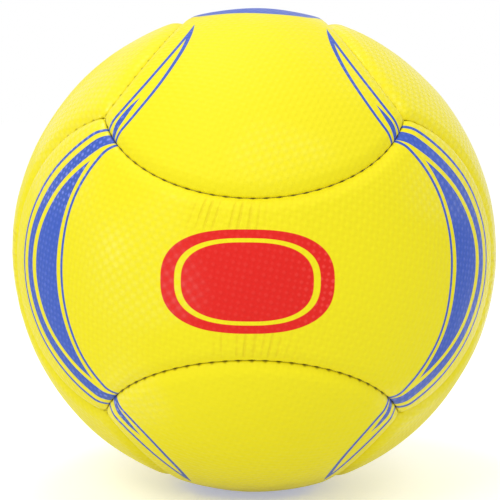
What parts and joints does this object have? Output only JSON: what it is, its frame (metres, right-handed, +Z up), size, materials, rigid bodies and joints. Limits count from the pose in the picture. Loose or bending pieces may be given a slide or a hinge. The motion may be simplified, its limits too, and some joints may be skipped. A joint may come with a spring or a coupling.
{
  "type": "beach soccer ball",
  "caption": "Stitched beach soccer ball: dog-bone cover panels that meet in curved seams over a bladder, with a pull-out valve core in one panel.",
  "frame": {"origin": "centre of the ball", "axes": "+Z up through the middle of the top panel, -Y out of the middle of the printed front panel, +X out of the valve in the middle of the right panel"},
  "size_m": [0.2193, 0.2194, 0.2194],
  "materials": {
    "panel_cover": "soft coated grain, satin, yellow with blue and red print",
    "panel_foam": "closed-cell foam",
    "panel_lining": "plain weave",
    "seam_thread": "waxed polyester thread",
    "bladder_rubber": "smooth",
    "valve_rubber": "smooth",
    "valve_core_rubber": "smooth"
  },
  "bodies": {
    "ball": {"front_panel": "panel_cover", "back_panel": "panel_cover", "top_panel": "panel_cover", "bottom_panel": "panel_cover", "left_panel": "panel_cover", "right_panel": "panel_cover", "front_foam": "panel_foam", "back_foam": "panel_foam", "top_foam": "panel_foam", "bottom_foam": "panel_foam", "left_foam": "panel_foam", "right_foam": "panel_foam", "front_lining": "panel_lining", "back_lining": "panel_lining", "top_lining": "panel_lining", "bottom_lining": "panel_lining", "left_lining": "panel_lining", "right_lining": "panel_lining", "seam_front_top": "seam_thread", "seam_front_bottom": "seam_thread", "seam_back_top": "seam_thread", "seam_back_bottom": "seam_thread", "seam_top_left": "seam_thread", "seam_top_right": "seam_thread", "seam_bottom_left": "seam_thread", "seam_bottom_right": "seam_thread", "seam_left_front": "seam_thread", "seam_left_back": "seam_thread", "seam_right_front": "seam_thread", "seam_right_back": "seam_thread", "bladder": "bladder_rubber", "valve_body": "valve_rubber"},
    "valve_core": {"valve_core": "valve_core_rubber"}
  },
  "joints": [
    {"name": "valve_core_pull", "type": "slide", "parent": "ball", "child": "valve_core", "axis": [1, 0, 0], "range_m": [0, 0.018]}
  ]
}
